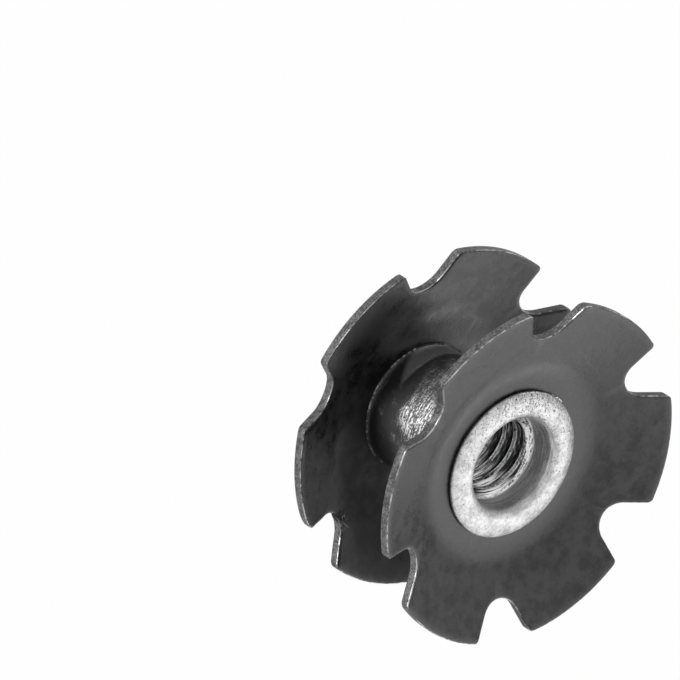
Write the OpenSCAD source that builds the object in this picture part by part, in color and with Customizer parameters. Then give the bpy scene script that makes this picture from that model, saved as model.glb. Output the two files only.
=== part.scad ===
// Star nut: two dished spring-steel stars riveted on one threaded sleeve.
// The nut is driven down a tube, the star lobes bite into the wall, and a bolt
// from above pulls on the thread. Both stars dish upwards, towards the bolt.
// The nut stands on the lower collar of its sleeve, with the bolt axis along +Z.

/* [Star] */
// Outer diameter of a star, a little over the bore of its tube
star_d = 23.2; // [21:0.1:30]
// Thickness of the sheet that the stars are stamped from
sheet_t = 0.65; // [0.4:0.05:0.9]
// Height of the rim above the flat hub, top face to top face
dish_h = 2.15; // [1:0.05:3]
// Diameter of the flat hub in the middle of a star
hub_flat_d = 12.4; // [11.6:0.1:15]
// Radius of the bend from the hub into the lobes, on the hollow side
bend_r = 1.5; // [0.4:0.1:3]
// Number of lobes on each star
lobes = 6; // [4:1:8]

/* [Notches] */
// Diameter of the circle that touches the floor of every notch
notch_floor_d = 18.1; // [16:0.1:19.5]
// Radius of the round floor of a notch
notch_r = 1.5; // [0.8:0.05:1.8]
// Angle between the two walls of a notch
notch_angle = 59; // [35:1:75]
// Radius on the two outer corners of a lobe
corner_r = 0.4; // [0.1:0.05:0.7]

/* [Stack] */
// Distance from one star to the other, along the sleeve
star_pitch = 9.2; // [6:0.1:16]
// Turn of the lower star against the upper one
lower_turn = 13.5; // [0:0.5:30]

/* [Sleeve] */
// Outer diameter of the sleeve between the stars
sleeve_d = 8.5; // [8.2:0.1:11]
// Bevel on the two shoulders that the stars seat on
shoulder_bevel = 0.12; // [0.05:0.01:0.2]
// Outer diameter of the thin necks that pass through the stars
neck_d = 7.7; // [7.3:0.1:8]
// Clearance between a neck and the hole in its star, on the radius
neck_gap = 0.02; // [0.01:0.01:0.05]

/* [Collars] */
// Outer diameter of the collars rolled over the hubs
collar_d = 10.05; // [9:0.05:11.4]
// Height of a collar above the face of its hub
collar_h = 0.5; // [0.35:0.05:0.8]
// Height of a collar at its thin outer edge
collar_edge_h = 0.3; // [0.2:0.05:0.35]
// Diameter of the circle where a collar is highest
collar_crown_d = 8; // [7.5:0.1:8.6]
// Radius of the lip that rolls from the crown into the hole
lip_r = 0.4; // [0.1:0.05:0.5]

/* [Thread] */
// Diameter of the threaded hole at the crests of the thread
thread_minor_d = 5; // [4:0.1:5.4]
// Diameter of the plain counterbore at each end of the hole
counterbore_d = 6.2; // [6:0.1:6.5]
// Depth of each counterbore, from the crown of its collar to its flat floor
counterbore_depth = 2; // [1.4:0.1:2.6]

/* [Hidden] */
$fn = 120;
// Number of straight steps in the arcs of the bend, the collar, a notch's floor
// and a lobe's corner
bend_steps = 6;
edge_steps = 8;
floor_steps = 8;
corner_steps = 4;
// Angle at which the arc of a lobe corner breaks out through the rim
corner_exit = 12;
// Angle at which the dome of a collar runs into its round outer edge
edge_top_a = 75;
// How far a cut runs past what it cuts
cut_over = 1;

// Radii
star_r = star_d / 2;
hub_r = hub_flat_d / 2;
neck_r = neck_d / 2;
collar_r = collar_d / 2;
crown_r = collar_crown_d / 2;
bore_r = thread_minor_d / 2;
counterbore_r = counterbore_d / 2;

// Slope of the lobes: the line from the rim that just touches the bend
lobe_run = [star_r - hub_r, dish_h - bend_r];
lobe_a = atan2(lobe_run[1], lobe_run[0]) + asin(bend_r / norm(lobe_run));

// Heights up the stack, from the foot of the lower collar
lower_hub_z = collar_h;
upper_hub_z = lower_hub_z + star_pitch;
sleeve_h = upper_hub_z + sheet_t + collar_h;

// Points of an arc about c, from angle a0 to angle a1
function arc(c, r, a0, a1, steps) =
  [for (i = [0:steps]) let (a = a0 + (a1 - a0) * i / steps) c + r * [cos(a), sin(a)]];

// Section of a dished star, with the underside of its hub at height 0
module star_section() {
  bend_c = [hub_r, sheet_t + bend_r];
  rim_top = sheet_t + dish_h;
  hole_r = neck_r + neck_gap;
  polygon(concat(
    [[hole_r, 0]],
    arc(bend_c, bend_r + sheet_t, -90, -90 + lobe_a, bend_steps),
    [[star_r, rim_top - sheet_t / cos(lobe_a)], [star_r, rim_top]],
    arc(bend_c, bend_r, -90 + lobe_a, -90, bend_steps),
    [[hole_r, sheet_t]]
  ));
}

// Outline of one notch, opening along +X: a round floor, two straight walls, and
// the two lobe corners beside it, whose arcs run out through the rim
module notch_outline() {
  half = notch_angle / 2;
  wall = [cos(half), sin(half)];
  side = [-sin(half), cos(half)];
  floor_c = [notch_floor_d / 2 + notch_r, 0];
  corner_line = floor_c + (notch_r + corner_r) * side;
  along = -corner_line * wall
    + sqrt(pow(corner_line * wall, 2) - corner_line * corner_line + pow(star_r - corner_r, 2));
  corner_c = corner_line + along * wall;
  exit_a = atan2(corner_c[1], corner_c[0]) - corner_exit;
  corner = arc(corner_c, corner_r, half - 90, exit_a, corner_steps);
  half_notch = concat(
    arc(floor_c, notch_r, 180, 90 + half, floor_steps),
    corner,
    [corner[corner_steps] + cut_over * [-sin(exit_a), cos(exit_a)]],
    [[star_r + 2 * cut_over, 0]]
  );
  polygon(half_notch);
  mirror([0, 1]) polygon(half_notch);
}

// One stamped star, with the underside of its hub at height 0
module star() {
  difference() {
    rotate_extrude() star_section();
    for (i = [0:lobes - 1])
      rotate([0, 0, (i + 0.5) * 360 / lobes])
        translate([0, 0, -cut_over])
          linear_extrude(height = dish_h + sheet_t + 2 * cut_over) notch_outline();
  }
}

module upper_star() {
  color([0.27, 0.27, 0.28]) translate([0, 0, upper_hub_z]) star();
}

module lower_star() {
  color([0.24, 0.24, 0.25]) rotate([0, 0, lower_turn]) translate([0, 0, lower_hub_z]) star();
}

// Outline of one end of the sleeve, from the bore out to the shoulder. Height 0
// is the face that the shoulder seats the star on, and the collar lies above it.
function sleeve_end() =
  let (
    top = sheet_t + collar_h,
    crown_w = collar_r - crown_r,
    edge_r = collar_edge_h / 2,
    edge_c = [collar_r - edge_r, sheet_t + edge_r],
    lip_c = [counterbore_r + lip_r, top - lip_r]
  )
  concat(
    [[bore_r, top - counterbore_depth], [counterbore_r, top - counterbore_depth]],
    arc(lip_c, lip_r, 180, 90, edge_steps),
    // A flat dome from the crown down to the thin outer edge
    [for (i = [0:edge_steps]) let (u = i / edge_steps)
      [crown_r + (crown_w - edge_r) * u, top - (collar_h - collar_edge_h) * u * u]],
    arc(edge_c, edge_r, edge_top_a, -90, edge_steps),
    [[neck_r, sheet_t], [neck_r, 0], [sleeve_d / 2 - shoulder_bevel, 0],
      [sleeve_d / 2, -shoulder_bevel]]
  );

module threaded_sleeve() {
  end = sleeve_end();
  shoulder_z = upper_hub_z;
  foot_z = lower_hub_z + sheet_t;
  upper_half = [for (p = end) [p[0], shoulder_z + p[1]]];
  lower_half = [for (i = [len(end) - 1:-1:0]) [end[i][0], foot_z - end[i][1]]];
  color([0.8, 0.81, 0.82]) rotate_extrude() polygon(concat(upper_half, lower_half));
}

upper_star();
lower_star();
threaded_sleeve();
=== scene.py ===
# %% [markdown]
# # A star nut, dressed for the camera
# A star nut is driven down a bicycle's steerer tube, and its two spring-steel stars
# bite into the wall while a bolt pulls on the thread of the sleeve between them.
# The CAD model gives the sizes. This lesson remakes its three pieces with fine edges,
# a real thread and worn finishes, and lights them as a small studio would.

# %% Load the frame
from math import asin, atan2, cos, degrees, hypot, pi, radians, sin, sqrt, tan

import bmesh
import bpy
from mathutils import Matrix, Quaternion, Vector


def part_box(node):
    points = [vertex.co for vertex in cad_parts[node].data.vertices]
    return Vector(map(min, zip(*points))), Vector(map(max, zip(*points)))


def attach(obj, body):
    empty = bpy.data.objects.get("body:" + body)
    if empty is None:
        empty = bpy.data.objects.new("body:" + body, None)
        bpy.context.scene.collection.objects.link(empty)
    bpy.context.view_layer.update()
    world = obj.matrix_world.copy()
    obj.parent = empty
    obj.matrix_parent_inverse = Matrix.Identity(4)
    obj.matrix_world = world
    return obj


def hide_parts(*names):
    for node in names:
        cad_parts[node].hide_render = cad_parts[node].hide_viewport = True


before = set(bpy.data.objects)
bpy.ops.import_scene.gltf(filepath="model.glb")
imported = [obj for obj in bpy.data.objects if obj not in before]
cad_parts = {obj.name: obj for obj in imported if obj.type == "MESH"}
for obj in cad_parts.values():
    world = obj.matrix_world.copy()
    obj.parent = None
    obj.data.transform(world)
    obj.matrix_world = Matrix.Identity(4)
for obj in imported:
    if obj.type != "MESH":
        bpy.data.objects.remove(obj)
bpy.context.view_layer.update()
MM = 0.001
Y, Z = Vector((0, 1, 0)), Vector((0, 0, 1))
print("CAD nodes:", sorted(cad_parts))

# %% [markdown]
# ## Sizes
# Meshes are drawn in millimetres, because a fastener's numbers are easy to think in
# there, and each finished mesh is scaled to metres once. The sizes that the CAD model
# fixes are read from its boxes, and the others are the maker's own.

# %% Sizes in millimetres
lower_box = [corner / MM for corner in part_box("lower_star")]
upper_box = [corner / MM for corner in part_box("upper_star")]
sleeve_box = [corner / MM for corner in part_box("threaded_sleeve")]

star_r = upper_box[1].x
sheet_t = 0.65
dish_h = upper_box[1].z - upper_box[0].z - sheet_t
lobes = 6
lower_turn = radians(13.5)

hub_r = 5.6
bend_r = 4.0
star_hole_r = 3.87
notch_floor_r = 9.05
notch_r = 1.5
notch_half = radians(59 / 2)
corner_r = 0.4

sleeve_r = 4.25
neck_r = 3.85
collar_r = sleeve_box[1].x
collar_h = 0.5
print(f"star radius {star_r:.2f}, dish {dish_h:.2f}, collar radius {collar_r:.2f}")

# %% [markdown]
# ## Camera
# A long lens far away gives the flat perspective of a catalogue picture. The camera is
# placed by compass, as azimuth, elevation and distance, and then rolled about its own
# axis, because the nut is held with its bolt axis pointing right and down.

# %% Place the camera
aim = Vector((1.12, 6.93, -1.20)) * MM
camera_distance = 380.66 * MM
camera_azimuth = radians(87.8)
camera_elevation = radians(43.09)
camera_roll = radians(122.15)
lens_mm = 318.4

towards_camera = Vector((
    cos(camera_elevation) * cos(camera_azimuth),
    cos(camera_elevation) * sin(camera_azimuth),
    sin(camera_elevation),
))
camera = bpy.data.objects.new("camera", bpy.data.cameras.new("camera"))
bpy.context.scene.collection.objects.link(camera)
camera.data.lens = lens_mm
camera.data.sensor_width = 36
camera.data.clip_start = 0.01
camera.location = aim + camera_distance * towards_camera
camera.rotation_mode = "QUATERNION"
level_view = (-towards_camera).to_track_quat("-Z", "Y")
camera.rotation_quaternion = level_view @ Quaternion(Z, camera_roll)
bpy.context.scene.camera = camera
bpy.context.scene.view_settings.view_transform = "Standard"
print("camera at", [round(c / MM, 1) for c in camera.location], "mm")

# %% [markdown]
# ## Shader sums
# A material is a graph of nodes. Writing the graph as sums and products of Python
# objects keeps it readable, so one small class wraps a node's output and turns each
# operator into a Math node, and one method adds every other node.

# %% A class for signals and one for finishes
class Signal:
    """The output of a shader node. Arithmetic on it adds Math nodes."""

    def __init__(self, finish, socket):
        self.finish = finish
        self.socket = socket

    def math(self, operation, other, swap=False):
        pair = (other, self) if swap else (self, other)
        settings = {"operation": operation}
        return self.finish.add("ShaderNodeMath", settings, dict(enumerate(pair)))

    def __add__(self, other):
        return self.math("ADD", other)

    def __sub__(self, other):
        return self.math("SUBTRACT", other)

    def __rsub__(self, other):
        return self.math("SUBTRACT", other, swap=True)

    def __mul__(self, other):
        return self.math("MULTIPLY", other)

    def __abs__(self):
        return self.math("ABSOLUTE", 0.0)

    __radd__ = __add__
    __rmul__ = __mul__

    def maximum(self, other):
        """The larger of two signals, which joins two masks."""
        return self.math("MAXIMUM", other)

    def band(self, low, high):
        """0 below low, 1 above high and smooth between them, or the reverse if low > high."""
        if low < high:
            ends = {"From Min": low, "From Max": high}
        else:
            ends = {"From Min": high, "From Max": low, "To Min": 1.0, "To Max": 0.0}
        settings = {"interpolation_type": "SMOOTHSTEP"}
        return self.finish.add("ShaderNodeMapRange", settings, {"Value": self, **ends})


class Finish:
    """A procedural material on the piece's own coordinates."""

    def __init__(self, name):
        self.material = bpy.data.materials.new(name)
        self.material.use_nodes = True
        self.tree = self.material.node_tree
        self.tree.nodes.clear()
        self.place = self.add("ShaderNodeTexCoord", output="Object")

    def add(self, kind, settings=None, inputs=None, output=0):
        """Adds any node: its settings first, then the values or links of its sockets."""
        node = self.tree.nodes.new(kind)
        for name, value in (settings or {}).items():
            setattr(node, name, value)
        for key, value in (inputs or {}).items():
            if isinstance(value, Signal):
                self.tree.links.new(value.socket, node.inputs[key])
            else:
                node.inputs[key].default_value = value
        return Signal(self, node.outputs[output]) if node.outputs else None

    def noise(self, size_mm, detail=2.0, place=None, rough=0.5):
        """Cloudy noise whose blotches are about size_mm wide."""
        inputs = {
            "Vector": place or self.place,
            "Scale": 1 / (size_mm * MM),
            "Detail": detail,
            "Roughness": rough,
        }
        return self.add("ShaderNodeTexNoise", inputs=inputs)

    def vector(self, operation, other, output="Value"):
        """A Vector Math node between the place and another vector."""
        settings = {"operation": operation}
        inputs = {0: self.place, 1: other}
        return self.add("ShaderNodeVectorMath", settings, inputs, output)

    def coordinate(self, axis):
        """One coordinate of the place, in metres."""
        return self.add("ShaderNodeSeparateXYZ", inputs={0: self.place}, output=axis)

    def side(self, bearing, wall_r):
        """1 at a bearing round the axis, 0 a quarter turn away, on a wall of radius wall_r mm."""
        span = wall_r * MM
        return self.vector("DOT_PRODUCT", (cos(bearing) / span, sin(bearing) / span, 0))

    def from_axis(self):
        """Distance from the axis in mm."""
        flat = self.vector("MULTIPLY", (1, 1, 0), output="Vector")
        settings = {"operation": "LENGTH"}
        return self.add("ShaderNodeVectorMath", settings, {0: flat}, "Value") * (1 / MM)

    def distance(self, point):
        """Distance in mm from a point given in mm."""
        return self.vector("DISTANCE", tuple(MM * number for number in point)) * (1 / MM)

    def height(self):
        """Height above the foot in mm."""
        return self.coordinate("Z") * (1 / MM)

    def around(self, length, slant=0.6):
        """A place for noise that makes rings round the axis.

        A slow drift across the piece breaks the rings, the later the greater the length.
        """
        drift = (self.coordinate("X") + slant * self.coordinate("Y")) * (1 / length)
        inputs = {"X": self.from_axis() * MM, "Y": drift, "Z": self.height() * MM}
        return self.add("ShaderNodeCombineXYZ", inputs=inputs)

    def mix(self, factor, first, second):
        """The first colour where the factor is 0 and the second where it is 1."""
        inputs = {"Factor": factor, 6: first, 7: second}
        return self.add("ShaderNodeMix", {"data_type": "RGBA"}, inputs, output=2)

    def bump(self, height, depth_mm):
        """A normal for a surface that rises by depth_mm where the height is 1."""
        inputs = {"Height": height, "Distance": depth_mm * MM}
        return self.add("ShaderNodeBump", inputs=inputs)

    def surface(self, **sockets):
        """Ends the graph with a Principled shader. Underscores stand for spaces."""
        inputs = {name.replace("_", " "): value for name, value in sockets.items()}
        shader = self.add("ShaderNodeBsdfPrincipled", inputs=inputs)
        self.add("ShaderNodeOutputMaterial", inputs={"Surface": shader})
        return self.material


def grey(value):
    return (value, value, value, 1.0)


print("signals and finishes are ready")

# %% [markdown]
# ## A pen that draws with operators
# A turned or stamped part starts as a line on paper. The pen below draws such a line
# inside a bmesh: a straight stroke extrudes its tip, and an arc spins its tip about a
# centre. The same pen draws the outline of a notch and the section of the sleeve.

# %% The pen
same_place = 1e-4


class Pen:
    """Draws a chain of edges from a first point."""

    def __init__(self, bm, start):
        self.bm = bm
        self.tip = bmesh.ops.create_vert(bm, co=start)["vert"][0]

    def line(self, end, parts=1):
        """A straight stroke to a point, cut in equal parts."""
        start = self.tip.co.copy()
        for part in range(parts):
            extruded = bmesh.ops.extrude_vert_indiv(self.bm, verts=[self.tip])
            self.tip = extruded["verts"][0]
            self.tip.co = start.lerp(Vector(end), (part + 1) / parts)

    def arc(self, centre, angle, steps, axis=Z):
        """An arc about a centre, counterclockwise as seen from the tip of the axis."""
        last = bmesh.ops.spin(
            self.bm, geom=[self.tip], cent=centre, axis=axis,
            dvec=(0, 0, 0), angle=angle, steps=steps,
        )["geom_last"]
        self.tip = [item for item in last if isinstance(item, bmesh.types.BMVert)][0]


def everything(bm):
    return bm.verts[:] + bm.edges[:] + bm.faces[:]


def radius(item):
    """Distance of a vertex, or of the middle of a face, from the axis."""
    middle = item.co if isinstance(item, bmesh.types.BMVert) else item.calc_center_median()
    return middle.xy.length


def merge(bm):
    bmesh.ops.remove_doubles(bm, verts=bm.verts, dist=same_place)


def finish_piece(bm, name, finishes, slot, *nodes):
    """Turns a mesh drawn in millimetres into a piece that stands for its CAD nodes."""
    bmesh.ops.scale(bm, vec=(MM, MM, MM), verts=bm.verts)
    for face in bm.faces:
        face.smooth = True
    mesh = bpy.data.meshes.new(name)
    bm.to_mesh(mesh)
    bm.free()
    for finish in finishes:
        mesh.materials.append(finish)
    piece = bpy.data.objects.new(name, mesh)
    bpy.context.scene.collection.objects.link(piece)
    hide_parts(*nodes)
    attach(piece, "root")
    print(f"{name}: {len(mesh.polygons)} faces")
    return piece


print("the pen is ready")

# %% [markdown]
# ## One half of a notch and of its lobe
# A star is punched flat before it is dished. It repeats every 60 degrees and each lobe
# is symmetric, so only a slice of 30 degrees is drawn: from the middle of a notch's
# round floor, up its straight wall, round the lobe's corner and along the rim to the
# middle of the lobe. Even spacing along this line keeps the faces square later on.

# %% Draw the outline of the slice
slice_angle = pi / lobes
floor_steps, wall_steps, corner_steps, rim_steps = 10, 9, 6, 22
outline_steps = floor_steps + wall_steps + corner_steps + rim_steps


def draw_outline(bm):
    wall = Vector((cos(notch_half), sin(notch_half), 0))
    side = Vector((-sin(notch_half), cos(notch_half), 0))
    floor_centre = Vector((notch_floor_r + notch_r, 0, 0))
    corner_line = floor_centre + (notch_r + corner_r) * side
    reach = corner_line.dot(wall)
    along = -reach + sqrt(reach**2 - corner_line.length_squared + (star_r - corner_r) ** 2)
    corner_centre = corner_line + along * wall
    corner_angle = atan2(corner_centre.y, corner_centre.x)

    pen = Pen(bm, (notch_floor_r, 0, 0))
    pen.arc(floor_centre, -(pi / 2 - notch_half), floor_steps)
    pen.line(corner_centre - corner_r * side, wall_steps)
    pen.arc(corner_centre, corner_angle + pi / 2 - notch_half, corner_steps)
    pen.arc((0, 0, 0), slice_angle - corner_angle, rim_steps)
    return pen.tip


trial = bmesh.new()
rim_end = draw_outline(trial)
print(f"{len(trial.edges)} strokes, ending at radius {radius(rim_end):.3f} mm,",
      f"{degrees(atan2(rim_end.co.y, rim_end.co.x)):.1f} degrees")
trial.free()

# %% [markdown]
# ## From an outline to a flat sheet
# The outline is bridged to an arc where the bend ends, and that arc is extruded in to
# the hub's hole. Mirroring the slice makes a whole notch, and a spin with duplicates
# makes six. Two insets follow the outline at a fixed distance, so the edge has a band
# of its own faces, which the rolled edge needs. Only then are the long faces between
# band and bend cut across, because an inset over short faces would fold them.

# %% The flat sheet
def bend_angle():
    """Slope of the lobes: the line from the rim that just touches the bend."""
    run, rise = star_r - hub_r, dish_h - bend_r
    return atan2(rise, run) + asin(bend_r / hypot(run, rise))


lobe_slope = bend_angle()
bend_end_r = hub_r + (bend_r + sheet_t) * sin(lobe_slope)
hub_rings = [5.2, 4.5, star_hole_r]
bend_rings = 6
lobe_rings = 11
edge_band = 0.12
roll_band = 0.2
uncut_length = 1.5
near_bend = 0.01


def flat_sheet():
    bm = bmesh.new()
    draw_outline(bm)
    outline = bm.edges[:]
    inner = Pen(bm, (bend_end_r, 0, 0))
    inner.arc((0, 0, 0), slice_angle, outline_steps)
    bend_arc = bm.edges[len(outline):]
    bmesh.ops.bridge_loops(bm, edges=outline + bend_arc)

    ring = bend_arc
    bend_width = bend_end_r - hub_r
    bend_radii = [hub_r + bend_width * (1 - step / bend_rings)
                  for step in range(1, bend_rings + 1)]
    for ring_r in bend_radii + hub_rings:
        extruded = bmesh.ops.extrude_edge_only(bm, edges=ring)["geom"]
        inner_verts = {item for item in extruded if isinstance(item, bmesh.types.BMVert)}
        for vert in inner_verts:
            vert.co *= ring_r / radius(vert)
        ring = [item for item in extruded
                if isinstance(item, bmesh.types.BMEdge) and inner_verts.issuperset(item.verts)]

    bmesh.ops.mirror(bm, geom=everything(bm), axis="Y", merge_dist=same_place)
    merge(bm)
    bmesh.ops.spin(
        bm, geom=everything(bm), cent=(0, 0, 0), axis=Z,
        angle=2 * slice_angle * (lobes - 1), steps=lobes - 1, use_duplicate=True,
    )
    merge(bm)
    bmesh.ops.recalc_face_normals(bm, faces=bm.faces)
    for width in (edge_band, roll_band):
        inner_faces = [face for face in bm.faces if not face.tag]
        inset = bmesh.ops.inset_region(
            bm, faces=inner_faces, thickness=width, use_boundary=True, use_even_offset=True
        )
        for face in inset["faces"]:
            face.tag = True
    long_edges = [
        edge for edge in bm.edges
        if min(map(radius, edge.verts)) < bend_end_r + near_bend
        and edge.calc_length() > uncut_length
    ]
    bmesh.ops.subdivide_edges(bm, edges=long_edges, cuts=lobe_rings, use_grid_fill=True)
    return bm


sheet = flat_sheet()
print(f"flat sheet: {len(sheet.faces)} faces, lobe slope {degrees(lobe_slope):.1f} degrees,",
      f"boundary edges {sum(edge.is_boundary for edge in sheet.edges)}")
sheet.free()

# %% [markdown]
# ## Dish and thickness
# The flat sheet is now pressed. Height is a function of the radius alone: flat over the
# hub, round over the bend and straight along the lobes, with one curve for the top of
# the sheet and one for its underside. Extruding the sheet gives the second skin and the
# walls between them. The press leaves the upper edge rolled over, so the outline drops
# a little there, and a bevel rounds both edges to the size that a file would leave.

# %% Press the sheet
edge_roll = 0.05
edge_round = 0.06
edge_segments = 3
wall_rows = 4
outline_angle, edge_angle = 1.0, 0.8
upright = 0.2
clear_of_hole = 0.1
FACE, WALL, EDGE = 0, 1, 2


def dish(r, offset):
    """Height of a skin above the hub's underside, offset outwards from the bend's centre."""
    centre_z = sheet_t + bend_r
    bend_stop = hub_r + offset * sin(lobe_slope)
    if r <= hub_r:
        return centre_z - offset
    if r <= bend_stop:
        return centre_z - sqrt(offset**2 - (r - hub_r) ** 2)
    return centre_z - offset * cos(lobe_slope) + (r - bend_stop) * tan(lobe_slope)


def is_outer(edge):
    """Whether an edge is clear of the hub's hole."""
    return min(map(radius, edge.verts)) > star_hole_r + clear_of_hole


def press(bm, hub_z):
    """Gives the flat sheet its two skins and its height, and marks its walls."""
    top = bm.verts[:]
    extruded = bmesh.ops.extrude_face_region(bm, geom=bm.faces[:])["geom"]
    under = [item for item in extruded if isinstance(item, bmesh.types.BMVert)]
    for vert in under:
        vert.co.z = hub_z + dish(radius(vert), bend_r + sheet_t)
    outline = {
        vert for edge in bm.edges
        if edge.calc_face_angle(0) > outline_angle and is_outer(edge)
        for vert in edge.verts
    }
    for vert in top:
        roll = edge_roll if vert in outline else 0
        vert.co.z = hub_z + dish(radius(vert), bend_r) - roll
    bmesh.ops.recalc_face_normals(bm, faces=bm.faces)
    for face in bm.faces:
        face.material_index = WALL if abs(face.normal.z) < upright else FACE


def round_edges(bm):
    """Cuts the walls into rows and rounds the edges above and below them."""
    risers = [
        edge for edge in bm.edges
        if all(face.material_index == WALL for face in edge.link_faces) and is_outer(edge)
    ]
    bmesh.ops.subdivide_edges(bm, edges=risers, cuts=wall_rows, use_grid_fill=True)
    sharp = [
        edge for edge in bm.edges
        if edge.calc_face_angle(0) > edge_angle and is_outer(edge)
        and len({face.material_index for face in edge.link_faces}) == 2
    ]
    rounded = bmesh.ops.bevel(
        bm, geom=sharp, offset=edge_round, offset_type="OFFSET", segments=edge_segments,
        profile=0.5, affect="EDGES", material=-1, clamp_overlap=True,
    )
    bm.normal_update()
    for face in rounded["faces"]:
        face.material_index = EDGE if face.normal.z > 0 else FACE


trial = flat_sheet()
press(trial, 0)
round_edges(trial)
print(f"pressed star: {len(trial.faces)} faces,",
      f"{max(vert.co.z for vert in trial.verts):.2f} mm high")
trial.free()

# %% [markdown]
# ## Damage
# A nut that has been hammered into a tube is not perfect. A curl is a sliver of metal
# that the punch squeezed out: a small ring spun along an arc and thinned to nothing at
# both ends. A bent lobe tilts about its root, and a knocked corner is pushed in.

# %% Curls, bends and knocks
curl_steps, curl_sides = 16, 6
curl_tip = 1e-3
lobe_root_r = 7.0
lobe_half_width = 6.6
lobe_swing = 0.42


def curl(bm, ring_r, z, start, sweep, thickness, material_index):
    """A sliver of squeezed-out metal along an arc, thickest in the middle."""
    place = Matrix.Translation((ring_r, 0, z)) @ Matrix.Rotation(pi / 2, 4, "X")
    section = bmesh.ops.create_circle(
        bm, segments=curl_sides, radius=thickness / 2, matrix=place, cap_ends=False,
    )["verts"]
    old_faces = set(bm.faces)
    edges = list({edge for vert in section for edge in vert.link_edges})
    bmesh.ops.spin(
        bm, geom=section + edges, cent=(0, 0, 0), axis=Z,
        dvec=(0, 0, 0), angle=sweep, steps=curl_steps,
    )
    sliver = [face for face in bm.faces if face not in old_faces]
    verts = list({vert for face in sliver for vert in face.verts})
    for vert in verts:
        share = atan2(vert.co.y, vert.co.x) / sweep
        line = vert.co.xy.normalized() * ring_r
        middle = Vector((line.x, line.y, z))
        vert.co = middle.lerp(vert.co, sqrt(max(0.0, 1 - (2 * share - 1) ** 2)))
    bmesh.ops.remove_doubles(bm, verts=verts, dist=curl_tip)
    for face in bm.faces:
        if face not in old_faces:
            face.material_index = material_index
    verts = [vert for vert in verts if vert.is_valid]
    to_start = Matrix.Rotation(start, 3, "Z")
    bmesh.ops.rotate(bm, cent=(0, 0, 0), matrix=to_start, verts=verts)


def bend_lobe(bm, bearing, lift):
    """Tilts one lobe about its root, most in the middle and not at all past its notches."""
    along = Vector((cos(bearing), sin(bearing), 0))
    for vert in bm.verts:
        reach = vert.co.dot(along) - lobe_root_r
        sideways = vert.co.cross(along).z
        if reach > 0:
            inside = max(0.0, 1 - (abs(sideways) / lobe_half_width) ** 4)
            share = inside * reach / (star_r - lobe_root_r)
            vert.co.z += lift * share
            vert.co -= lobe_swing * lift * share * along


def knock_corner(bm, bearing, towards, reach, depth):
    """Pushes the corner of a lobe in, less and less up to a distance of reach."""
    tip = (star_r - corner_r) * Vector((cos(bearing), sin(bearing)))
    push = depth * Vector((cos(towards), sin(towards), 0))
    for vert in bm.verts:
        near = max(0.0, 1 - (vert.co.xy - tip).length / reach)
        vert.co += near**2 * push


trial = bmesh.new()
curl(trial, ring_r=9, z=0, start=0, sweep=radians(8), thickness=0.3, material_index=WALL)
print(f"a curl: {len(trial.faces)} faces, closed: {all(edge.is_manifold for edge in trial.edges)}")
trial.free()

# %% [markdown]
# ## A whole star
# The damage is stated by the bearings of the finished piece. The star is drawn with a
# notch on the X axis and only turned into place at the end, so the same turn is first
# taken off each bearing.

# %% Make a star
def make_star(name, node, hub_z, turn, finishes, bent_lobes=(), knocks=(), burrs=()):
    """A piece called name that stands for a CAD node, with its hub's underside at hub_z."""
    bm = flat_sheet()
    press(bm, hub_z)
    round_edges(bm)
    last_turn = slice_angle + turn
    for bearing, lift in bent_lobes:
        bend_lobe(bm, bearing - last_turn, lift)
    for bearing, towards, reach, depth in knocks:
        knock_corner(bm, bearing - last_turn, towards - last_turn, reach, depth)
    for burr_r, bearing, sweep, thickness in burrs:
        burr_z = hub_z + dish(burr_r, bend_r)
        curl(bm, burr_r, burr_z, bearing - last_turn, sweep, thickness, WALL)
    into_place = Matrix.Rotation(last_turn, 3, "Z")
    bmesh.ops.rotate(bm, cent=(0, 0, 0), matrix=into_place, verts=bm.verts)
    return finish_piece(bm, name, finishes, "dark_spring_steel", node)


print("stars can be made")

# %% [markdown]
# ## The thread
# An internal thread is one groove that climbs one pitch in each turn. A section one
# pitch long is drawn with the pen and its four corners are rounded. A spin that also
# lifts it a little at each step sweeps the whole helix, and neighbouring turns share
# their edges. Two plane cuts end it square at the floors of the counterbores, as the
# tap and the drill would.

# %% Sweep the thread
pitch = 1.0
crest_r = 2.5
root_r = 3.0
root_flat = pitch / 8
flank_angle = radians(30)
root_rounding = 0.03
crest_rounding = 0.1
crest_height = 8.43
crest_bearing = radians(267.8)
steps_in_turn = 120
turns_below, spare_turns = 2, 3
cut_gap, on_plane = 1e-5, 1e-3
counterbore_r = 3.1
counterbore_depth = 2.0
bore_top = sleeve_box[1].z - counterbore_depth
bore_bottom = sleeve_box[0].z + counterbore_depth


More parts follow.
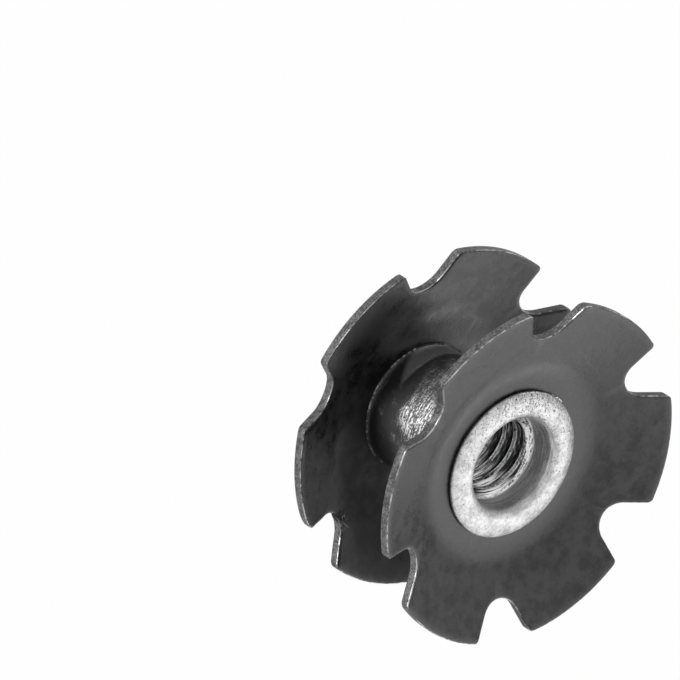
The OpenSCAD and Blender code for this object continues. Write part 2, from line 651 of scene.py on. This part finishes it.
def sweep_thread(bm):
    flank = (root_r - crest_r) * tan(flank_angle)
    crest_flat = pitch - root_flat - 2 * flank
    turns = int((bore_top - bore_bottom) / pitch) + spare_turns
    crest_at_zero = crest_height - pitch * crest_bearing / (2 * pi)
    low = crest_at_zero - pitch * int(crest_at_zero - bore_bottom + turns_below)
    z = low - flank - root_flat / 2
    pen = Pen(bm, (root_r, 0, z))
    pen.line((root_r, 0, low - flank))
    pen.line((crest_r, 0, low))
    pen.line((crest_r, 0, low + crest_flat))
    pen.line((root_r, 0, low + crest_flat + flank))
    pen.line((root_r, 0, z + pitch))
    for corner_x, rounding, segments in ((root_r, root_rounding, 2), (crest_r, crest_rounding, 4)):
        corners = [vert for vert in bm.verts
                   if len(vert.link_edges) == 2 and abs(vert.co.x - corner_x) < same_place]
        bmesh.ops.bevel(
            bm, geom=corners, offset=rounding, offset_type="OFFSET", segments=segments,
            profile=0.5, affect="VERTICES", material=-1,
        )
    bmesh.ops.spin(
        bm, geom=bm.verts[:] + bm.edges[:], cent=(0, 0, 0), axis=Z,
        dvec=(0, 0, pitch / steps_in_turn), angle=2 * pi, steps=steps_in_turn,
    )
    one_turn = everything(bm)
    for turn in range(1, turns):
        copies = bmesh.ops.duplicate(bm, geom=one_turn)["geom"]
        copied_verts = [item for item in copies if isinstance(item, bmesh.types.BMVert)]
        bmesh.ops.translate(bm, verts=copied_verts, vec=(0, 0, turn * pitch))
    merge(bm)
    for plane_z, outward in ((bore_top, Z), (bore_bottom, -Z)):
        bmesh.ops.bisect_plane(
            bm, geom=everything(bm), dist=cut_gap,
            plane_co=(0, 0, plane_z), plane_no=outward, clear_outer=True,
        )
    loose = [vert for vert in bm.verts if not vert.link_faces]
    bmesh.ops.delete(bm, geom=loose, context="VERTS")


trial = bmesh.new()
sweep_thread(trial)
heights = [vert.co.z for vert in trial.verts]
print(f"thread: {len(trial.faces)} faces, from {min(heights):.2f} to {max(heights):.2f} mm,",
      f"radius {min(map(radius, trial.verts)):.3f} to {max(map(radius, trial.verts)):.3f} mm")
trial.free()

# %% [markdown]
# ## The sleeve and its rolled collars
# The sleeve is turned from bar, with a thin neck at each end. A punch then rolls the
# end of each neck over a star's hub, as a flat dome with a thin round edge, and leaves
# a rolled lip round the hole. One half of the section is drawn, from the floor of the
# counterbore to the middle of the waist. A mirror gives the other half and a full spin
# with merging closes the seam. Two flat fills join the counterbores to the thread.

# %% Turn the sleeve
lip_r = 0.7
crown_r = 4.0
collar_edge_h = 0.3
flange_r = 4.37
flange_h = 0.1
flange_edge = 0.03
hub_top = sleeve_box[1].z - collar_h
shoulder_z = hub_top - sheet_t
waist_middle = (sleeve_box[0].z + sleeve_box[1].z) / 2


def draw_section(bm):
    """Half of the sleeve's section, in the plane of X and Z."""
    top = sleeve_box[1].z
    edge_r = collar_edge_h / 2
    run = collar_r - edge_r - crown_r
    dome_angle = 2 * atan2(collar_h - collar_edge_h, run)
    dome_r = run / sin(dome_angle) + edge_r
    edge_centre = (collar_r - edge_r, 0, hub_top + edge_r)

    pen = Pen(bm, (counterbore_r, 0, bore_top))
    pen.line((counterbore_r, 0, top - lip_r), parts=6)
    pen.arc((counterbore_r + lip_r, 0, top - lip_r), pi / 2, steps=8, axis=Y)
    pen.line((crown_r, 0, top), parts=3)
    pen.arc((crown_r, 0, top - dome_r), dome_angle, steps=8, axis=Y)
    pen.arc(edge_centre, pi - dome_angle, steps=8, axis=Y)
    pen.line((neck_r, 0, hub_top))
    pen.line((neck_r, 0, shoulder_z))
    pen.line((flange_r - flange_edge, 0, shoulder_z))
    pen.line((flange_r, 0, shoulder_z - flange_edge))
    pen.line((flange_r, 0, shoulder_z - flange_h + flange_edge))
    pen.line((sleeve_r, 0, shoulder_z - flange_h))
    pen.line((sleeve_r, 0, waist_middle), parts=8)


trial = bmesh.new()
draw_section(trial)
print(f"half section: {len(trial.edges)} strokes")
trial.free()

# %% [markdown]
# ## One sleeve from thread and section
# The foot of the waist has a small flange, where the punch squeezed it against the
# star, and the edge of the upper collar carries two slivers. Five finishes are shared
# out by radius and height.

# %% Make a sleeve
sleeve_steps = 180
crest_band = 0.06
ZINC, WAIST, FLANK, CREST, FLANGE = 0, 1, 2, 3, 4


def share_out_finishes(bm, thread_faces):
    for face in bm.faces:
        middle_z = face.calc_center_median().z
        on_waist = abs(middle_z - waist_middle) < shoulder_z - waist_middle
        if face in thread_faces:
            face.material_index = CREST if radius(face) < crest_r + crest_band else FLANK
        elif on_waist and radius(face) > sleeve_r:
            face.material_index = FLANGE
        elif on_waist and radius(face) > neck_r:
            face.material_index = WAIST
        else:
            face.material_index = ZINC


def join_counterbores(bm):
    """Fills the flat rings between the counterbores and the ends of the thread."""
    for plane_z, outward in ((bore_top, Z), (bore_bottom, -Z)):
        rims = [edge for edge in bm.edges if edge.is_boundary
                and all(abs(vert.co.z - plane_z) < on_plane for vert in edge.verts)]
        filled = bmesh.ops.triangle_fill(bm, edges=rims, use_beauty=True, normal=outward)
        for item in filled["geom"]:
            if isinstance(item, bmesh.types.BMFace):
                item.material_index = CREST


def make_sleeve(name, node, finishes, slivers):
    bm = bmesh.new()
    sweep_thread(bm)
    thread_faces = set(bm.faces)
    thread_verts, thread_edges = set(bm.verts), set(bm.edges)
    draw_section(bm)
    half = [vert for vert in bm.verts if vert not in thread_verts]
    half += [edge for edge in bm.edges if edge not in thread_edges]
    to_middle = Matrix.Translation((0, 0, -waist_middle))
    bmesh.ops.mirror(bm, geom=half, matrix=to_middle, axis="Z", merge_dist=same_place)
    merge(bm)
    section = [vert for vert in bm.verts if vert not in thread_verts]
    section += [edge for edge in bm.edges if edge not in thread_edges]
    bmesh.ops.spin(
        bm, geom=section, cent=(0, 0, 0), axis=Z, dvec=(0, 0, 0),
        angle=2 * pi, steps=sleeve_steps, use_merge=True,
    )
    share_out_finishes(bm, thread_faces)
    join_counterbores(bm)
    for past_collar, over_hub, start, sweep, thickness in slivers:
        curl(bm, collar_r + past_collar, hub_top + over_hub, start, sweep, thickness, CREST)
    bmesh.ops.recalc_face_normals(bm, faces=bm.faces)
    return finish_piece(bm, name, finishes, "zinc_plated_steel", node)


print("a sleeve can be made")

# %% [markdown]
# ## Blackened spring steel
# The stars are hardened and blackened, so they look like black paint, with a soft sheen
# where they are seen at a slant. Their look comes from a dark colour with faint clouds
# and from a roughness that follows them. The lower star also has painted shade round the
# foot of the sleeve and a pale painted sheen on one side. It is scratched by a nick, and
# it is torn in one notch, darkened round the burrs as painted shade.

# %% The finishes of the stars
shade_bearing, sheen_bearing = radians(215), radians(76)
nick_bearing, nick_r = radians(28), 7.25
torn_at = (-8.83, 1.97, 2.0)


def pressed_steel(name, shade_sheen_and_tear=0):
    """Black steel with a nick low down. With its second argument at 1 it also has painted shade
    round the sleeve's foot, a pale painted sheen on one side, and a torn notch darkened as painted
    shade.
    """
    steel = Finish(name)
    clouds = steel.noise(2.4, detail=5, rough=0.65)
    smears = steel.noise(0.9, detail=5, rough=0.65)
    crumbs = steel.noise(0.2, detail=3, rough=0.6)
    tone = (0.4 * clouds + 0.6 * smears).band(0.4, 0.6)

    # Painted shade: darker and rougher round the foot of the sleeve, most on one side, where the
    # upper star shades the lower one.
    reach = steel.from_axis() + 3 * clouds - 6 * steel.side(shade_bearing, star_r)
    painted_shade = reach.band(8.4, 6.0) * shade_sheen_and_tear
    # Painted sheen: a pale colour on the side of the lower star where a pale reflection would
    # fall.
    painted_sheen = steel.side(sheen_bearing, star_r).band(0.72, 1.02) * shade_sheen_and_tear
    # Painted shade round the burrs of the torn notch, with bright torn flecks and a rougher bump.
    tear_and_shade = (steel.distance(torn_at) + 0.8 * crumbs).band(1.3, 0.8) * shade_sheen_and_tear
    wavy_r = steel.from_axis() + 0.4 * (smears - 0.5)
    nick_ends = steel.side(nick_bearing, nick_r).band(0.97, 0.985) * steel.height().band(4.0, 3.0)
    nick = abs(wavy_r - nick_r).band(0.09, 0.03) * nick_ends

    tone_and_painted_light = steel.mix(painted_sheen, steel.mix(tone, grey(0.003), grey(0.045)), grey(0.22))
    dark = painted_shade.maximum(nick).maximum(tear_and_shade)
    darkened = steel.mix(dark, tone_and_painted_light, grey(0.006))
    return steel.surface(
        Base_Color=steel.mix(tear_and_shade * crumbs.band(0.54, 0.6), darkened, grey(0.4)),
        Metallic=0.0,
        Roughness=0.26 + 0.14 * tone + 0.45 * painted_shade.maximum(tear_and_shade),
        Normal=steel.bump(smears * 0.025 + 0.12 * crumbs * tear_and_shade, 1.0),
    )


def torn_edge():
    """The walls of the sheet: sheared and torn, with bright flecks."""
    steel = Finish("torn_edge")
    flecks = steel.noise(0.13, detail=3, rough=0.6)
    patches = steel.noise(0.6, detail=2)
    bright = (flecks * 0.7 + patches * 0.3).band(0.44, 0.57)
    return steel.surface(
        Base_Color=steel.mix(bright, grey(0.012), grey(0.1)),
        Metallic=0.0,
        Roughness=0.5,
        Normal=steel.bump(flecks, 0.03),
    )


def worn_edge():
    """The rounded edges, rubbed bright in places."""
    steel = Finish("worn_edge")
    rubbed = (0.5 * steel.noise(0.3, detail=3) + 0.5 * steel.noise(1.8)).band(0.38, 0.6)
    return steel.surface(
        Base_Color=steel.mix(rubbed, grey(0.03), grey(0.46)),
        Metallic=0.9 * rubbed,
        Roughness=0.35,
    )


print("steel finishes are defined")

# %% [markdown]
# ## Bright zinc
# The sleeve is zinc plated. Its collars are bright and finely pitted by the punch, and
# the drill has left rings in the counterbore, whose lip has a painted highlight on one side.
# The waist is dark and smooth at its ends, where nothing touches it, save a pale patch near
# the foot that is a painted reflection, and its middle has fine scuffs that run round it,
# densest where a painted highlight falls.

# %% The finishes of the collars and the waist
specky_bearing, lit_bearing = radians(20), radians(238)
scuffed_bearing, reflection_bearing = radians(75), radians(20)
waist_highlight_bearing, waist_highlight_z = radians(99), 5.3


def punched_zinc():
    """Pitted on the collars and ringed in the counterbore, whose lip has a painted highlight on
    the side where the light falls.
    """
    zinc = Finish("punched_zinc")
    mottle = zinc.noise(0.25, detail=5, rough=0.75)
    clouds = zinc.noise(0.9, detail=2)
    rings = zinc.noise(0.16, detail=3, place=zinc.around(10))
    often = 0.05 * zinc.side(specky_bearing, collar_r)
    specks = (zinc.noise(0.13, detail=3, rough=0.7) - often).band(0.41, 0.34)

    in_bore = zinc.from_axis().band(3.5, 3.2)
    near_mouth = (zinc.height() + 1.2 * rings).band(10.0, 10.7)
    # Painted highlight: near the mouth, on the side where the light falls, the bore takes the
    # collars' colour in place of the drilled rings.
    lit_lip = zinc.side(lit_bearing, counterbore_r).band(0.3, 0.9) * near_mouth
    tone = (0.6 * mottle + 0.4 * clouds).band(0.38, 0.62)
    punched = zinc.mix(tone, grey(0.38), grey(0.7))
    drilled = zinc.mix(rings.band(0.4, 0.6), grey(0.42), grey(0.75))
    tone_and_painted_light = zinc.mix(in_bore * (1 - 0.7 * lit_lip), punched, drilled)
    return zinc.surface(
        Base_Color=zinc.mix(specks * (1 - 0.3 * in_bore), tone_and_painted_light, grey(0.06)),
        Metallic=0.85,
        Roughness=0.3 + 0.2 * clouds,
        Normal=zinc.bump(mottle * 0.8 + 0.3 * rings * (1 + 2 * in_bore), 0.06),
    )


def scratched_waist():
    """A dark smooth coat with bright rubbed streaks round the middle, densest where the light
    falls as a painted highlight, and a pale patch near the foot as a painted reflection.
    """
    zinc = Finish("scratched_waist")
    streaks = zinc.noise(0.1, detail=3, place=zinc.around(7), rough=0.6)
    specks = zinc.noise(0.13, detail=4, rough=0.7)
    clouds = zinc.noise(1.1, detail=4, rough=0.65)
    lines = (0.45 * streaks + 0.55 * specks).band(0.45, 0.58)

    middle = abs(zinc.height() - waist_middle).band(2.7, 0.2)
    # The scuffs gather where the light falls on the waist, so their bright colour there is partly
    # a painted highlight.
    highlight_rows = abs(zinc.height() - waist_highlight_z).band(1.9, 0.5)
    highlight_spot = zinc.side(waist_highlight_bearing, sleeve_r).band(0.93, 1.0) * highlight_rows
    often = 0.2 * middle + 0.06 * zinc.side(scuffed_bearing, sleeve_r) + 0.4 * highlight_spot
    scuffs_and_highlight = (0.8 * clouds + often).band(0.43, 1.0)
    # Painted reflection: a pale metallic patch near the foot, on one side, where the waist would
    # mirror the bright backdrop.
    reflection_wedge = (zinc.height() + 3.6 * zinc.side(reflection_bearing, sleeve_r)).band(4.3, 5.0)
    smooth = reflection_wedge * (zinc.height() + 0.6 * clouds).band(3.2, 2.8)

    bare = zinc.mix(lines, grey(0.13), grey(0.75))
    coat_and_reflection = zinc.mix(smooth, grey(0.035), grey(0.65))
    return zinc.surface(
        Base_Color=zinc.mix(scuffs_and_highlight * (0.3 + 0.7 * lines), coat_and_reflection, bare),
        Metallic=scuffs_and_highlight * (0.3 + 0.5 * lines) + smooth * (0.8 - 0.8 * scuffs_and_highlight),
        Roughness=0.28 + 0.3 * scuffs_and_highlight - 0.08 * smooth,
        Normal=zinc.bump((0.5 * streaks + 0.5 * specks) * scuffs_and_highlight, 0.03),
    )


print("collar and waist finishes are defined")

# %% [markdown]
# ## Cut metal
# The flanks of the thread are painted dark, as shade in the grooves, and painted bright on
# one side, as a highlight. The tap has rubbed the crests bright, and the flange at the
# sleeve's foot is worn in places.

# %% The finishes of the flange and the thread
thread_lit_bearing = radians(222)


def pinched_flange():
    """The sleeve's foot, squeezed out a little and rubbed bright in places."""
    zinc = Finish("pinched_flange")
    rubbed = (0.5 * zinc.noise(0.3, detail=2) + 0.5 * zinc.noise(2.5)).band(0.48, 0.62)
    return zinc.surface(
        Base_Color=zinc.mix(rubbed, grey(0.015), grey(0.3)),
        Metallic=0.9 * rubbed,
        Roughness=0.4,
    )


def thread_flank():
    """Smooth cut metal, painted dark as shade in the grooves, and painted bright as a highlight on
    the side where the light reaches in.
    """
    zinc = Finish("thread_flank")
    lines = zinc.noise(0.09, detail=2, place=zinc.around(9))
    # Painted highlight on the side where the light reaches into the bore, and painted shade in the
    # grooves elsewhere.
    lit_side = zinc.side(thread_lit_bearing, root_r).band(0.72, 0.98)
    painted_groove_shade = zinc.mix(lines.band(0.5, 0.7), grey(0.02), grey(0.25))
    painted_highlight = zinc.mix(lines.band(0.38, 0.55), grey(0.08), grey(0.95))
    return zinc.surface(
        Base_Color=zinc.mix(lit_side, painted_groove_shade, painted_highlight),
        Metallic=0.9,
        Roughness=0.25,
        Normal=zinc.bump(lines, 0.015),
    )


def thread_crest():
    """The crests and the counterbore's floor, rubbed bright by the tap."""
    zinc = Finish("thread_crest")
    lines = zinc.noise(0.12, detail=3, place=zinc.around(5))
    specks = zinc.noise(0.14, detail=3, rough=0.7)
    cut = (0.5 * lines + 0.5 * specks).band(0.4, 0.52)
    return zinc.surface(
        Base_Color=zinc.mix(cut, grey(0.06), grey(0.95)),
        Metallic=0.8,
        Roughness=0.3 + 0.2 * lines,
        Normal=zinc.bump(lines, 0.02),
    )


print("flange and thread finishes are defined")

# %% [markdown]
# ## The three pieces
# On the lower star, one lobe is bent up, one corner is knocked in, and two burrs hang in
# a torn notch. A bend is a bearing and a lift. A knock is a bearing, the bearing of the
# push, its reach and its depth. A burr is a radius, a bearing, a sweep and a thickness.
# A sliver on the collar is its distances past the collar and over the hub, then its
# start, sweep and thickness.

# %% Make the three pieces
edge_finishes = [torn_edge(), worn_edge()]
lower_star = make_star(
    "pressed_lower_star", "lower_star", lower_box[0].z, lower_turn,
    [pressed_steel("painted_shade_steel", shade_sheen_and_tear=1), *edge_finishes],
    bent_lobes=[(radians(133.5), 0.33)],
    knocks=[(radians(153.8), radians(5), 1.7, 0.31)],
    burrs=[(9.12, radians(160.5), radians(7), 0.34), (8.97, radians(166), radians(8), 0.28)],
)
upper_star = make_star(
    "pressed_upper_star", "upper_star", upper_box[0].z, 0,
    [pressed_steel("pressed_steel"), *edge_finishes],
)
sleeve = make_sleeve(
    "turned_sleeve", "threaded_sleeve",
    [punched_zinc(), scratched_waist(), thread_flank(), thread_crest(), pinched_flange()],
    slivers=[(0.04, 0.2, radians(-12), radians(15), 0.08),
             (-0.03, 0.26, radians(4), radians(34), 0.06)],
)
print("pieces:", [piece.name for piece in (lower_star, upper_star, sleeve)])

# %% [markdown]
# ## Studio
# The camera sees the floor and the world as pure white. Reflections see the same white
# floor, and a world that is white overhead and dim near the horizon, as in a room with
# a bright ceiling. The light that floor and world cast on the nut is plain and soft.

# %% The floor
backdrop_share = 0.99
backdrop_glow = 1.0
floor_radius = 0.6


def seen_as_white(finish):
    """1 for camera, glossy and transmission rays, and 0 for the light on the object."""
    ray = "ShaderNodeLightPath"
    camera_ray = finish.add(ray, output="Is Camera Ray")
    glossy_ray = finish.add(ray, output="Is Glossy Ray")
    clear_ray = finish.add(ray, output="Is Transmission Ray")
    return camera_ray.maximum(glossy_ray).maximum(clear_ray)


floor_mesh = bmesh.new()
bmesh.ops.create_circle(floor_mesh, cap_ends=True, segments=64, radius=floor_radius)
floor_data = bpy.data.meshes.new("floor")
floor_mesh.to_mesh(floor_data)
floor_mesh.free()
floor = bpy.data.objects.new("floor", floor_data)
bpy.context.scene.collection.objects.link(floor)
paper = Finish("white_paper")
glow = paper.add("ShaderNodeEmission", inputs={"Color": grey(1.0), "Strength": backdrop_glow})
matt = paper.add("ShaderNodeBsdfDiffuse", inputs={"Color": grey(0.8)})
share = seen_as_white(paper) * backdrop_share
blend = paper.add("ShaderNodeMixShader", inputs={0: share, 1: matt, 2: glow})
paper.add("ShaderNodeOutputMaterial", inputs={"Surface": blend})
floor_data.materials.append(paper.material)
floor.visible_shadow = False
print(f"floor: {floor_radius} m in radius")

# %% The world
ambient = 0.25
wall_glow = 0.1
ceiling_start, ceiling_full = 0.0, 0.7

world = bpy.data.worlds.new("studio")
world.use_nodes = True
bpy.context.scene.world = world


class Sky(Finish):
    """The world's own graph, built with the same tools as a finish."""

    def __init__(self, world):
        self.tree = world.node_tree
        self.tree.nodes.clear()


sky = Sky(world)
direction = sky.add("ShaderNodeTexCoord", output="Generated")
height = sky.add("ShaderNodeSeparateXYZ", inputs={0: direction}, output="Z")
ceiling = wall_glow + (1 - wall_glow) * height.band(ceiling_start, ceiling_full)
for_camera = sky.add("ShaderNodeLightPath", output="Is Camera Ray")
seen = for_camera.maximum(seen_as_white(sky) * ceiling)
strength = ambient + (1 - ambient) * seen
background = sky.add("ShaderNodeBackground", inputs={"Color": grey(1.0), "Strength": strength})
sky.add("ShaderNodeOutputWorld", inputs={"Surface": background})
print(f"world: {len(sky.tree.nodes)} nodes")

# %% The lamps
nut_middle = Vector((0, 0, waist_middle)) * MM


def lamp(name, right, up, back, distance, size, watts):
    """A soft box to the right, above and behind the nut, as the camera sees it."""
    direction = (camera.rotation_quaternion @ Vector((right, up, back))).normalized()
    light = bpy.data.lights.new(name, "AREA")
    light.shape = "DISK"
    light.size = size
    light.energy = watts
    piece = bpy.data.objects.new(name, light)
    bpy.context.scene.collection.objects.link(piece)
    piece.location = nut_middle + distance * direction
    piece.rotation_mode = "QUATERNION"
    piece.rotation_quaternion = (-direction).to_track_quat("-Z", "Y")


lamp("key_box", right=-0.71, up=0.26, back=0.66, distance=0.30, size=0.12, watts=1.2)
lamp("side_board", right=0.80, up=-0.60, back=0.0, distance=0.35, size=0.34, watts=0.35)
lamp("low_board", right=0.55, up=-0.62, back=-0.55, distance=0.35, size=0.3, watts=0.2)
print("lamps:", [light.name for light in bpy.data.lights])
